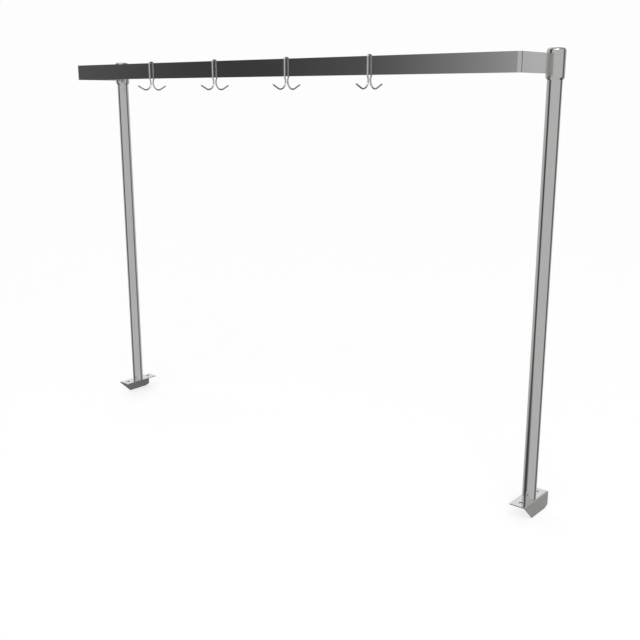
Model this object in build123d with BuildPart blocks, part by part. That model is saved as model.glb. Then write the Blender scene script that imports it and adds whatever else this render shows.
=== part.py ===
from build123d import *
import os
from math import acos, degrees, radians, sin, tan

# Table-mounted pot rack: two tube uprights on folded foot brackets, a closed cap on each upright,
# one flat bar bent into a U between the caps, and double-pronged wire hooks hung over the bar.
# Millimetres. The origin is midway between the upright axes, on the table top,
# with +X along the bar, -Y to the front and +Z up.

# Layout
upright_spacing = 1778.0  # between the two upright axes
overall_height = 1268.5  # table top to the top of the caps

# Uprights: round tube
tube_diameter = 40.6
tube_wall = 1.5

# Foot brackets: plate folded down over the table's end
bracket_thickness = 2.7
bracket_length = 150.0  # front to back
plate_inner_reach = 25.4  # upright axis to the plate's inner edge
table_end_reach = 22.7  # upright axis to the table's end
flange_drop = 46.5  # table top to the flange's lower edge
fold_inner_radius = 1.5
plate_corner_radius = 3.0
front_cut_angle = 47.0  # the flange's front edge, from the vertical
back_clip_length = 18.0
back_clip_height = 6.0
bolt_hole_diameter = 9.5
bolt_hole_spacing = 101.6

# Post caps: closed sleeves on the uprights
cap_clearance = 0.3  # between tube and bore, on the radius
cap_wall = 4.4
cap_length = 81.0
cap_crown = 4.0  # thickness of the closed top
cap_shoulder_radius = 7.5
cap_taper_length = 5.5  # bevel round the mouth, along the cap
cap_lip = 0.4  # wall left at the mouth

# Set screws: one through the back of each cap
screw_diameter = 6.0
screw_rise = 26.0  # cap's mouth to the screw's axis
screw_proud = 1.0  # how far the screw stands out of the cap
screw_socket_width = 3.0
screw_socket_depth = 2.5
screw_edge_bevel = 0.5
thread_clearance = 0.05
screw_tip_gap = 0.05

# Rack bar: flat bar bent into a U
bar_height = 50.8
bar_thickness = 3.2
bar_reach = 203.2  # upright axes to the bar's front face
bar_arm_outset = 2.0  # upright axis to the middle of the arm, outwards
bar_below_cap_top = 15.0
bar_bend_radius = 8.7  # outside of the bends
bar_edge_radius = 0.5

# Hooks: one round wire each
hook_count = 4
hook_pitch = 304.8
first_hook_offset = 410.0  # left upright axis to the first hook
wire_diameter = 5.0
hook_leg_gap = 4.7  # bar face to the inside of a leg
hook_seat_gap = 0.2  # running clearance on the bar's top edge
hook_arch_radius = 5.5  # middle of the wire, at the two bends over the bar
hook_neck_drop = 13.9  # bar's lower edge to the narrowest part of the neck
hook_neck_spacing = 10.0  # between the wire's centres there
hook_neck_radius = 9.8
hook_bowl_radius = 22.6
prong_angle = 25.1  # above the horizontal
prong_length = 25.0  # straight end of each prong
prong_tip_radius = 1.2

# Places that several pieces share
upright_x = upright_spacing / 2
tube_radius = tube_diameter / 2
flange_inner_x = upright_x + table_end_reach
cap_bore_radius = tube_radius + cap_clearance
cap_radius = cap_bore_radius + cap_wall
cap_mouth = overall_height - cap_length
cap_ceiling = overall_height - cap_crown
screw_z = cap_mouth + screw_rise
bar_arm_x = upright_x + bar_arm_outset
bar_mid_y = bar_thickness / 2 - bar_reach
bar_top = overall_height - bar_below_cap_top
bar_bottom = bar_top - bar_height
bar_mid_z = (bar_top + bar_bottom) / 2

# Upright: a tube from the foot plate to the ceiling of its cap
with BuildPart() as right_upright:
    with BuildSketch(Plane((upright_x, 0, bracket_thickness))):
        Circle(tube_radius)
        Circle(tube_radius - tube_wall, mode=Mode.SUBTRACT)
    extrude(amount=cap_ceiling - bracket_thickness)

# Foot bracket: an angle folded from plate, with two bolt holes beside the tube
with BuildPart() as right_foot_bracket:
    with BuildSketch(Plane.XZ):
        with BuildLine():
            FilletPolyline(
                (upright_x - plate_inner_reach, bracket_thickness),
                (flange_inner_x + bracket_thickness, bracket_thickness),
                (flange_inner_x + bracket_thickness, -flange_drop),
                radius=fold_inner_radius + bracket_thickness,
            )
            offset(amount=bracket_thickness, side=Side.RIGHT)
        make_face()
    extrude(amount=bracket_length / 2, both=True)
    plate_corners = right_foot_bracket.edges().filter_by(Axis.Z).group_by(Axis.X)[0]
    fillet(plate_corners, plate_corner_radius)

    # The flange's front edge slants back from the plate, and its back corner is clipped
    front_end = -bracket_length / 2
    back_end = bracket_length / 2
    front_cut_length = flange_drop * tan(radians(front_cut_angle))
    with BuildSketch(Plane.YZ.offset(flange_inner_x)):
        with BuildLine():
            Polyline(
                (front_end, 0),
                (front_end, -flange_drop),
                (front_end + front_cut_length, -flange_drop),
                close=True,
            )
        make_face()
        with BuildLine():
            Polyline(
                (back_end, back_clip_height - flange_drop),
                (back_end, -flange_drop),
                (back_end - back_clip_length, -flange_drop),
                close=True,
            )
        make_face()
    extrude(amount=bracket_thickness, mode=Mode.SUBTRACT)

    with Locations((upright_x, 0, bracket_thickness)):
        with GridLocations(0, bolt_hole_spacing, 1, 2):
            Hole(bolt_hole_diameter / 2, bracket_thickness)

# Post cap: a turned sleeve with a closed top, a round shoulder and a bevelled mouth
with BuildPart() as right_post_cap:
    with BuildSketch(Plane((upright_x, 0, cap_mouth), x_dir=(1, 0, 0), z_dir=(0, -1, 0))) as cap_section:
        with BuildLine():
            Polyline(
                (cap_bore_radius, 0),
                (cap_bore_radius + cap_lip, 0),
                (cap_radius, cap_taper_length),
                (cap_radius, cap_length),
                (0, cap_length),
                (0, cap_length - cap_crown),
                (cap_bore_radius, cap_length - cap_crown),
                close=True,
            )
        make_face()
        shoulder = cap_section.vertices().group_by(Axis.Y)[-1].sort_by(Axis.X)[-1]
        fillet(shoulder, cap_shoulder_radius)
    revolve(axis=Axis((upright_x, 0, 0), (0, 0, 1)))
    with BuildSketch(Plane((upright_x, 0, screw_z), x_dir=(1, 0, 0), z_dir=(0, 1, 0))):
        Circle(screw_diameter / 2 + thread_clearance)
    extrude(amount=cap_radius, mode=Mode.SUBTRACT)

# Set screw: bears on the tube, with a hexagon socket in its outer end
with BuildPart() as right_set_screw:
    screw_tip_y = tube_radius + screw_tip_gap
    with BuildSketch(Plane((upright_x, screw_tip_y, screw_z), x_dir=(1, 0, 0), z_dir=(0, 1, 0))):
        Circle(screw_diameter / 2)
    extrude(amount=cap_radius + screw_proud - screw_tip_y)
    chamfer(right_set_screw.edges().filter_by(GeomType.CIRCLE), screw_edge_bevel)
    with BuildSketch(right_set_screw.faces().sort_by(Axis.Y)[-1]):
        RegularPolygon(screw_socket_width / 2, 6, major_radius=False)
    extrude(amount=-screw_socket_depth, mode=Mode.SUBTRACT)

# The left-hand pieces are the right-hand ones mirrored
with BuildPart() as left_upright:
    mirror(right_upright.part, about=Plane.YZ)
with BuildPart() as left_foot_bracket:
    mirror(right_foot_bracket.part, about=Plane.YZ)
with BuildPart() as left_post_cap:
    mirror(right_post_cap.part, about=Plane.YZ)
with BuildPart() as left_set_screw:
    mirror(right_set_screw.part, about=Plane.YZ)

# Rack bar: one length of flat bar with eased edges, bent round two corners,
# its ends cut to the curve of the caps
with BuildPart() as rack_bar:
    with BuildLine(Plane.XY.offset(bar_mid_z)):
        FilletPolyline(
            (-bar_arm_x, 0),
            (-bar_arm_x, bar_mid_y),
            (bar_arm_x, bar_mid_y),
            (bar_arm_x, 0),
            radius=bar_bend_radius - bar_thickness / 2,
        )
    with BuildSketch(Plane((-bar_arm_x, 0, bar_mid_z), x_dir=(1, 0, 0), z_dir=(0, -1, 0))):
        RectangleRounded(bar_thickness, bar_height, bar_edge_radius)
    sweep()
    with Locations((-upright_x, 0, bar_mid_z), (upright_x, 0, bar_mid_z)):
        Cylinder(cap_radius, bar_height, mode=Mode.SUBTRACT)

# Hooks: a flat arch on the bar's top edge, two straight legs, a neck below the bar,
# then a bowl and a rising prong to the front and to the back
wire_radius = wire_diameter / 2
leg_offset = bar_thickness / 2 + hook_leg_gap + wire_radius
neck_step = leg_offset - hook_neck_spacing / 2
neck_angle = degrees(acos(1 - neck_step / (hook_neck_radius + hook_bowl_radius)))
neck_rise = (hook_neck_radius + hook_bowl_radius) * sin(radians(neck_angle))
leg_end_z = bar_bottom - hook_neck_drop + neck_rise
arch_z = bar_top + hook_seat_gap + wire_radius
arch_half_width = leg_offset - hook_arch_radius

pieces = {
    "left_upright": left_upright,
    "right_upright": right_upright,
    "left_foot_bracket": left_foot_bracket,
    "right_foot_bracket": right_foot_bracket,
    "left_post_cap": left_post_cap,
    "right_post_cap": right_post_cap,
    "left_set_screw": left_set_screw,
    "right_set_screw": right_set_screw,
    "rack_bar": rack_bar,
}

for number in range(hook_count):
    hook_x = first_hook_offset - upright_x + number * hook_pitch
    hook_plane = Plane((hook_x, bar_mid_y, 0), x_dir=(0, 1, 0), z_dir=(1, 0, 0))
    with BuildPart() as hook:
        with BuildLine(hook_plane) as wire_path:
            Line((-arch_half_width, arch_z), (arch_half_width, arch_z))
            for side in (-1, 1):
                bend = JernArc((side * arch_half_width, arch_z), (side, 0), hook_arch_radius, -side * 90)
                leg = Line(bend @ 1, (side * leg_offset, leg_end_z))
                neck = JernArc(leg @ 1, leg % 1, hook_neck_radius, -side * neck_angle)
                bowl = JernArc(neck @ 1, neck % 1, hook_bowl_radius, side * (neck_angle + 90 + prong_angle))
                Line(bowl @ 1, bowl @ 1 + prong_length * (bowl % 1))
        with BuildSketch(Plane(wire_path.line @ 0, z_dir=wire_path.line % 0)):
            Circle(wire_radius)
        sweep()
        fillet(hook.faces().filter_by(GeomType.PLANE).edges(), prong_tip_radius)
    pieces[f"hook_{number + 1}"] = hook

os.makedirs("parts", exist_ok=True)
for name, piece in pieces.items():
    piece.part.label = name
    export_step(piece.part, f"parts/{name}.step")
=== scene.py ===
import bpy
from math import radians
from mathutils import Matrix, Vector


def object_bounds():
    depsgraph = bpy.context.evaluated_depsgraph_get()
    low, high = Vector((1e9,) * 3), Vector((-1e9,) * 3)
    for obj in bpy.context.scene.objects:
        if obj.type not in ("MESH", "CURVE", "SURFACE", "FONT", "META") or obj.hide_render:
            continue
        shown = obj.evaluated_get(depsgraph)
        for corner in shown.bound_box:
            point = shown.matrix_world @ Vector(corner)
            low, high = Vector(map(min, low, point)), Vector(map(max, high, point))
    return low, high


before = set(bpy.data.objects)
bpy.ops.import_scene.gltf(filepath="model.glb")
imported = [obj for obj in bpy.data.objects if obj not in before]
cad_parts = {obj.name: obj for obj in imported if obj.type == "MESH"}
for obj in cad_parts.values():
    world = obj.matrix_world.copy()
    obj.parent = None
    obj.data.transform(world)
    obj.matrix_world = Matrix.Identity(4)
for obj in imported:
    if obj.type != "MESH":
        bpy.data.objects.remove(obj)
cad_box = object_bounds()


# Foot brackets: two plates of stainless sheet, each with its outer side folded down and two holes
# drilled for the bolts that hold it.
# The sheet is bright rolled: fine lines run from front to back, under a faint haze from handling.

def polish_lines():
    """Shader group: fine lines from a stretched noise, and a soft haze of hand marks over them."""
    group = bpy.data.node_groups.new("polish_lines", "ShaderNodeTree")
    group.interface.new_socket("Stretched", in_out="INPUT", socket_type="NodeSocketVector")
    group.interface.new_socket("Plain", in_out="INPUT", socket_type="NodeSocketVector")
    group.interface.new_socket("Haze Scale", in_out="INPUT", socket_type="NodeSocketFloat")
    group.interface.new_socket("Lines", in_out="OUTPUT", socket_type="NodeSocketFloat")
    group.interface.new_socket("Haze", in_out="OUTPUT", socket_type="NodeSocketFloat")
    entry = group.nodes.new("NodeGroupInput")
    result = group.nodes.new("NodeGroupOutput")
    lines = group.nodes.new("ShaderNodeTexNoise")
    lines.inputs["Scale"].default_value = 1.0
    lines.inputs["Detail"].default_value = 3.0
    lines.inputs["Roughness"].default_value = 0.55
    haze = group.nodes.new("ShaderNodeTexNoise")
    haze.inputs["Detail"].default_value = 4.0
    haze.inputs["Roughness"].default_value = 0.6
    haze.inputs["Distortion"].default_value = 0.4
    group.links.new(entry.outputs["Stretched"], lines.inputs["Vector"])
    group.links.new(entry.outputs["Plain"], haze.inputs["Vector"])
    group.links.new(entry.outputs["Haze Scale"], haze.inputs["Scale"])
    group.links.new(lines.outputs["Fac"], result.inputs["Lines"])
    group.links.new(haze.outputs["Fac"], result.inputs["Haze"])
    return group


polish = polish_lines()


def steel(name, clean, handled, lines_per_metre, haze_scale, roughness, line_depth):
    """A bright steel whose lines run along the axis with the smallest count per metre."""
    material = bpy.data.materials.new(name)
    material.use_nodes = True
    nodes = material.node_tree.nodes
    links = material.node_tree.links
    surface = nodes["Principled BSDF"]
    surface.inputs["Metallic"].default_value = 1.0

    place = nodes.new("ShaderNodeTexCoord")
    stretch = nodes.new("ShaderNodeMapping")
    stretch.inputs["Scale"].default_value = lines_per_metre
    finish = nodes.new("ShaderNodeGroup")
    finish.node_tree = polish
    finish.inputs["Haze Scale"].default_value = haze_scale
    links.new(place.outputs["Object"], stretch.inputs["Vector"])
    links.new(stretch.outputs["Vector"], finish.inputs["Stretched"])
    links.new(place.outputs["Object"], finish.inputs["Plain"])

    colour = nodes.new("ShaderNodeMix")
    colour.data_type = "RGBA"
    colour.inputs["A"].default_value = (*clean, 1.0)
    colour.inputs["B"].default_value = (*handled, 1.0)
    links.new(finish.outputs["Haze"], colour.inputs["Factor"])
    links.new(colour.outputs["Result"], surface.inputs["Base Color"])

    dullness = nodes.new("ShaderNodeMath")
    dullness.operation = "MULTIPLY"
    links.new(finish.outputs["Lines"], dullness.inputs[0])
    links.new(finish.outputs["Haze"], dullness.inputs[1])
    gloss = nodes.new("ShaderNodeMapRange")
    gloss.inputs["From Min"].default_value = 0.1
    gloss.inputs["From Max"].default_value = 0.45
    gloss.inputs["To Min"].default_value = roughness[0]
    gloss.inputs["To Max"].default_value = roughness[1]
    links.new(dullness.outputs["Value"], gloss.inputs["Value"])
    links.new(gloss.outputs["Result"], surface.inputs["Roughness"])

    scratch = nodes.new("ShaderNodeBump")
    scratch.inputs["Strength"].default_value = 0.5
    scratch.inputs["Distance"].default_value = line_depth
    links.new(finish.outputs["Lines"], scratch.inputs["Height"])
    links.new(scratch.outputs["Normal"], surface.inputs["Normal"])
    return material


def give_finish(material, *names):
    """Puts a finish on the named pieces."""
    for name in names:
        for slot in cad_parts[name].material_slots:
            slot.material = material


plate_steel = steel(
    "plate_steel", clean=(0.85, 0.85, 0.84), handled=(0.78, 0.775, 0.76),
    lines_per_metre=(900, 14, 900), haze_scale=16, roughness=(0.07, 0.16), line_depth=4e-6)

# Painted shade: the walls of the bolt holes, and a narrow ring round them, are painted dark grey
# for the shade inside the holes.
bolt_hole = (0.889, 0.0508, 0.0)  # the back right hole; the others mirror it
hole_shade_radius = 0.0058
hole_shade_grey = 0.03

plate_nodes = plate_steel.node_tree.nodes
plate_links = plate_steel.node_tree.links
plate_surface = plate_nodes["Principled BSDF"]
plate_place = plate_nodes.new("ShaderNodeTexCoord")
one_quarter = plate_nodes.new("ShaderNodeVectorMath")
one_quarter.operation = "ABSOLUTE"
flat = plate_nodes.new("ShaderNodeVectorMath")
flat.operation = "MULTIPLY"
flat.inputs[1].default_value = (1.0, 1.0, 0.0)
from_hole = plate_nodes.new("ShaderNodeVectorMath")
from_hole.operation = "DISTANCE"
from_hole.inputs[1].default_value = bolt_hole
# Painted shade mask: 1 within the radius round each bolt hole.
hole_shade_mask = plate_nodes.new("ShaderNodeMath")
hole_shade_mask.operation = "LESS_THAN"
hole_shade_mask.inputs[1].default_value = hole_shade_radius
hole_shade_colour = plate_nodes.new("ShaderNodeMix")
hole_shade_colour.data_type = "RGBA"
hole_shade_colour.inputs["B"].default_value = (hole_shade_grey, hole_shade_grey, hole_shade_grey, 1.0)
plate_links.new(plate_place.outputs["Object"], one_quarter.inputs[0])
plate_links.new(one_quarter.outputs["Vector"], flat.inputs[0])
plate_links.new(flat.outputs["Vector"], from_hole.inputs[0])
plate_links.new(from_hole.outputs["Value"], hole_shade_mask.inputs[0])
plate_links.new(hole_shade_mask.outputs["Value"], hole_shade_colour.inputs["Factor"])
plate_links.new(plate_surface.inputs["Base Color"].links[0].from_socket, hole_shade_colour.inputs["A"])
plate_links.new(hole_shade_colour.outputs["Result"], plate_surface.inputs["Base Color"])
give_finish(plate_steel, "left_foot_bracket", "right_foot_bracket")


# Uprights: two round stainless tubes, cut square and stood on the plates.
# The tube is belt polished, which leaves hair lines along its length.

post_steel = steel(
    "post_steel", clean=(0.66, 0.66, 0.655), handled=(0.60, 0.60, 0.59),
    lines_per_metre=(1500, 1500, 6), haze_scale=9, roughness=(0.05, 0.13), line_depth=3e-6)
give_finish(post_steel, "left_upright", "right_upright")


# Post caps: stainless sleeves turned from bar, closed at the top, pushed over the tubes.
# The tool's marks run round them, polished down to a bright finish.

cap_steel = steel(
    "cap_steel", clean=(0.67, 0.67, 0.66), handled=(0.60, 0.60, 0.59),
    lines_per_metre=(20, 20, 2400), haze_scale=24, roughness=(0.06, 0.14), line_depth=4e-6)
give_finish(cap_steel, "left_post_cap", "right_post_cap")


# Set screws: hardened steel screws through the back of each cap, which hold it on its tube.
# They are darkened by heat treatment and a little rough.

screw_steel = steel(
    "screw_steel", clean=(0.22, 0.22, 0.22), handled=(0.13, 0.13, 0.13),
    lines_per_metre=(2600, 400, 2600), haze_scale=180, roughness=(0.28, 0.42), line_depth=1e-5)
give_finish(screw_steel, "left_set_screw", "right_set_screw")


# Rack bar: one length of stainless flat bar, bent round two corners and welded to the caps.
# Its faces are mirror polished along the bar, so they show the hooks that hang in front of them.

bar_steel = steel(
    "bar_steel", clean=(0.65, 0.65, 0.645), handled=(0.58, 0.58, 0.57),
    lines_per_metre=(8, 8, 1800), haze_scale=7, roughness=(0.05, 0.11), line_depth=2e-6)

# Painted shade: the top and bottom edges are painted dark grey, for the dark lines that the light
# leaves along them.
# Each arm was brushed next to its weld.
bar_middle_z = 1.2281
shade_free_half_height = 0.0250
edge_shade_grey = 0.10
brushing_starts_y = -0.068
brushing_full_y = -0.060
brushed_roughness = 0.22  # on top of the polish

bar_nodes = bar_steel.node_tree.nodes
bar_links = bar_steel.node_tree.links
bar_surface = bar_nodes["Principled BSDF"]
bar_place = bar_nodes.new("ShaderNodeTexCoord")
along = bar_nodes.new("ShaderNodeSeparateXYZ")
bar_links.new(bar_place.outputs["Object"], along.inputs["Vector"])
# 1 on the faces, 0 on the edges that get the painted shade.
on_face = bar_nodes.new("ShaderNodeMath")
on_face.operation = "COMPARE"
on_face.inputs[1].default_value = bar_middle_z
on_face.inputs[2].default_value = shade_free_half_height
edge_shade_colour = bar_nodes.new("ShaderNodeMix")
edge_shade_colour.data_type = "RGBA"
edge_shade_colour.inputs["A"].default_value = (edge_shade_grey, edge_shade_grey, edge_shade_grey, 1.0)
bar_links.new(along.outputs["Z"], on_face.inputs[0])
bar_links.new(on_face.outputs["Value"], edge_shade_colour.inputs["Factor"])
bar_links.new(bar_surface.inputs["Base Color"].links[0].from_socket, edge_shade_colour.inputs["B"])
bar_links.new(edge_shade_colour.outputs["Result"], bar_surface.inputs["Base Color"])
brushed = bar_nodes.new("ShaderNodeMapRange")
brushed.inputs["From Min"].default_value = brushing_starts_y
brushed.inputs["From Max"].default_value = brushing_full_y
brushed.inputs["To Max"].default_value = brushed_roughness
bar_dullness = bar_nodes.new("ShaderNodeMath")
bar_dullness.operation = "ADD"
bar_links.new(along.outputs["Y"], brushed.inputs["Value"])
bar_links.new(bar_surface.inputs["Roughness"].links[0].from_socket, bar_dullness.inputs[0])
bar_links.new(brushed.outputs["Result"], bar_dullness.inputs[1])
bar_links.new(bar_dullness.outputs["Value"], bar_surface.inputs["Roughness"])
give_finish(bar_steel, "rack_bar")


# Hooks: each is one round steel wire bent cold into an arch, two legs, two bowls and two prongs.
# The wire is bright plated, with a very slight ripple left in the plating.

hook_wire = steel(
    "hook_wire", clean=(0.68, 0.68, 0.68), handled=(0.61, 0.61, 0.605),
    lines_per_metre=(700, 260, 260), haze_scale=40, roughness=(0.05, 0.12), line_depth=4e-6)
give_finish(hook_wire, "hook_1", "hook_2", "hook_3", "hook_4")


# Studio: a pale floor under the feet and a white surround.
# Two dark screens stand out of view, to the front left and the back right, and shade the polished
# faces. A softbox and a strip light hang in front.

floor_size = 60.0
floor_z = cad_box[0][2]
floor_mesh = bpy.data.meshes.new("floor")
floor_mesh.from_pydata(
    [(-floor_size, -floor_size, floor_z), (floor_size, -floor_size, floor_z),
     (floor_size, floor_size, floor_z), (-floor_size, floor_size, floor_z)],
    [], [(0, 1, 2, 3)])
floor = bpy.data.objects.new("floor", floor_mesh)
bpy.context.scene.collection.objects.link(floor)
floor.visible_glossy = False

floor_white_strength = 1.66
floor_white_share = 0.38  # of what the camera sees; the rest is lit paint, which takes the shadow
floor_paint = bpy.data.materials.new("floor_paint")
floor_paint.use_nodes = True
floor_nodes = floor_paint.node_tree.nodes
floor_links = floor_paint.node_tree.links
paint = floor_nodes["Principled BSDF"]
paint.inputs["Base Color"].default_value = (0.9, 0.9, 0.9, 1.0)
paint.inputs["Roughness"].default_value = 0.9
white = floor_nodes.new("ShaderNodeEmission")
white.inputs["Color"].default_value = (1.0, 1.0, 1.0, 1.0)
white.inputs["Strength"].default_value = floor_white_strength
floor_seen = floor_nodes.new("ShaderNodeLightPath")
share = floor_nodes.new("ShaderNodeMath")
share.operation = "MULTIPLY"
share.inputs[1].default_value = floor_white_share
blend = floor_nodes.new("ShaderNodeMixShader")
floor_links.new(floor_seen.outputs["Is Camera Ray"], share.inputs[0])
floor_links.new(share.outputs["Value"], blend.inputs["Fac"])
floor_links.new(paint.outputs["BSDF"], blend.inputs[1])
floor_links.new(white.outputs["Emission"], blend.inputs[2])
floor_links.new(blend.outputs["Shader"], floor_nodes["Material Output"].inputs["Surface"])
floor_mesh.materials.append(floor_paint)

# Brightness of the room's walls by the bearing in degrees, from the front towards the right: level
# with the bar, then lower down, where the left screen spreads and the right one is paler, then near
# the floor, on the floor and near the ceiling.
level_walls = [
    (-180, 0.64), (-71, 0.64), (-65, 0.45), (-55, 0.128), (-47, 0.066), (-43, 0.066), (-40, 0.086),
    (-36, 0.122), (-33.5, 0.187), (-31, 0.27), (-28, 0.395), (-25, 0.58), (-19, 0.66), (112, 0.66),
    (118, 0.38), (127, 0.15), (138, 0.11), (146, 0.21), (150, 0.49), (154, 0.67), (180, 0.64)]
low_walls = [
    (-180, 0.60), (-88, 0.62), (-76, 0.30), (-60, 0.07), (-40, 0.06), (-22, 0.20), (-8, 0.58),
    (0, 0.66), (108, 0.66), (116, 0.40), (128, 0.17), (140, 0.17), (150, 0.28), (158, 0.33),
    (170, 0.45), (180, 0.60)]
deep_walls = [
    (-180, 0.45), (-140, 0.30), (-100, 0.12), (-60, 0.07), (-40, 0.06), (-22, 0.20), (-8, 0.58),
    (0, 0.66), (112, 0.66), (120, 0.25), (130, 0.05), (158, 0.05), (170, 0.20), (180, 0.45)]
under_foot = [
    (-180, 0.10), (-140, 0.10), (-110, 0.35), (-80, 0.62), (126, 0.62), (142, 0.12), (180, 0.10)]
high_walls = [
    (-180, 0.38), (-150, 0.42), (-120, 0.80), (-75, 0.80), (-62, 0.20), (-52, 0.07), (-32, 0.07),
    (-20, 0.40), (-12, 0.58), (112, 0.58), (122, 0.36), (135, 0.20), (150, 0.34), (180, 0.38)]

# How high a direction points, from -1 straight down to 1 straight up, where one row of walls
# passes into the next.
level_to_low = (-0.25, -0.39)
low_to_deep = (-0.46, -0.55)
deep_to_under_foot = (-0.74, -0.84)
level_to_high = (0.44, 0.54)

# The left wall is paler towards the back, above the bar.
pale_wall_foot = (0.10, 0.28)
pale_wall_end = (0.34, 0.22)  # in turns, from the back round by the left
pale_wall_brightness = 0.82

# The strip light hangs under the ceiling; the shoulders of the caps and the hooks' bends show it.
strip_light_ends = [(-180, 0.0), (-24, 0.0), (-19, 1.0), (46, 1.0), (51, 0.0), (180, 0.0)]
strip_light_lower_edge = (0.53, 0.56)
strip_light_upper_edge = (0.82, 0.79)
strip_light_brightness = 2.1

backdrop_brightness = 0.983  # for the camera alone, to meet the far floor with no line between them

surround = bpy.data.worlds.new("surround")
bpy.context.scene.world = surround
surround.use_nodes = True
room_nodes = surround.node_tree.nodes
room_links = surround.node_tree.links
towards = room_nodes.new("ShaderNodeTexCoord")
direction = room_nodes.new("ShaderNodeSeparateXYZ")
room_links.new(towards.outputs["Generated"], direction.inputs["Vector"])
to_front = room_nodes.new("ShaderNodeMath")
to_front.operation = "MULTIPLY"
to_front.inputs[1].default_value = -1.0
room_links.new(direction.outputs["Y"], to_front.inputs[0])
bearing = room_nodes.new("ShaderNodeMath")
bearing.operation = "ARCTAN2"
room_links.new(direction.outputs["X"], bearing.inputs[0])
room_links.new(to_front.outputs["Value"], bearing.inputs[1])
turns = room_nodes.new("ShaderNodeMapRange")
turns.inputs["From Min"].default_value = radians(-180)
turns.inputs["From Max"].default_value = radians(180)
room_links.new(bearing.outputs["Value"], turns.inputs["Value"])
turn = turns.outputs["Result"]
height = direction.outputs["Z"]


def wall_ramp(levels):
    """A grey ramp round the room from a list of bearings and brightnesses."""
    ramp = room_nodes.new("ShaderNodeValToRGB")
    stops = ramp.color_ramp.elements
    stops.remove(stops[-1])
    stops[0].position = 0.0
    stops[0].color = (levels[0][1], levels[0][1], levels[0][1], 1.0)
    for degrees, level in levels[1:]:
        stops.new((degrees + 180) / 360).color = (level, level, level, 1.0)
    room_links.new(turn, ramp.inputs["Fac"])
    return ramp.outputs["Color"]


def soft_step(source, edge):
    """A soft step of a value from 0 at the start of an edge to 1 at its end."""
    step = room_nodes.new("ShaderNodeMapRange")
    step.interpolation_type = "SMOOTHSTEP"
    step.inputs["From Min"].default_value = edge[0]
    step.inputs["From Max"].default_value = edge[1]
    room_links.new(source, step.inputs["Value"])
    return step.outputs["Result"]


def both(first, second):
    """The share where two shares meet."""
    product = room_nodes.new("ShaderNodeMath")
    product.operation = "MULTIPLY"
    room_links.new(first, product.inputs[0])
    room_links.new(second, product.inputs[1])
    return product.outputs["Value"]


def laid_over(below, above, share):
    """One part of the room laid over another; a number stands for an even grey."""
    mix = room_nodes.new("ShaderNodeMix")
    mix.data_type = "RGBA"
    room_links.new(below, mix.inputs["A"])
    if isinstance(above, float):
        mix.inputs["B"].default_value = (above, above, above, 1.0)
    else:
        room_links.new(above, mix.inputs["B"])
    room_links.new(share, mix.inputs["Factor"])
    return mix.outputs["Result"]


pale_wall = both(soft_step(height, pale_wall_foot), soft_step(turn, pale_wall_end))
strip_light = both(
    wall_ramp(strip_light_ends),
    both(soft_step(height, strip_light_lower_edge), soft_step(height, strip_light_upper_edge)))
room_seen = room_nodes.new("ShaderNodeLightPath")
room = laid_over(wall_ramp(level_walls), wall_ramp(low_walls), soft_step(height, level_to_low))
room = laid_over(room, wall_ramp(deep_walls), soft_step(height, low_to_deep))
room = laid_over(room, wall_ramp(under_foot), soft_step(height, deep_to_under_foot))
room = laid_over(room, pale_wall_brightness, pale_wall)
room = laid_over(room, wall_ramp(high_walls), soft_step(height, level_to_high))
room = laid_over(room, strip_light_brightness, strip_light)
room = laid_over(room, backdrop_brightness, room_seen.outputs["Is Camera Ray"])
room_links.new(room, room_nodes["Background"].inputs["Color"])

softbox_aim = Vector((-2.0, 1.6, -2.3))
softbox = bpy.data.objects.new("softbox", bpy.data.lights.new("softbox", "AREA"))
softbox.data.shape = "RECTANGLE"
softbox.data.size = 1.6
softbox.data.size_y = 1.1
softbox.data.energy = 12
softbox.location = (2.3, -1.7, 3.3)
softbox.rotation_euler = softbox_aim.to_track_quat("-Z", "Y").to_euler()
bpy.context.scene.collection.objects.link(softbox)


# Camera: in front of the rack and off to its right, a little lower than the bar.
# It looks slightly down across the rack, with a lens a little longer than normal.

camera_aim = Vector((-0.6164, 0.7485, -0.2448))
camera = bpy.data.objects.new("camera", bpy.data.cameras.new("camera"))
camera.data.sensor_width = 36.0
camera.data.lens = 50.16
camera.location = (1.950, -2.255, 1.1496)
camera.rotation_euler = camera_aim.to_track_quat("-Z", "Y").to_euler()
bpy.context.scene.collection.objects.link(camera)
bpy.context.scene.camera = camera
bpy.context.scene.view_settings.view_transform = "Standard"
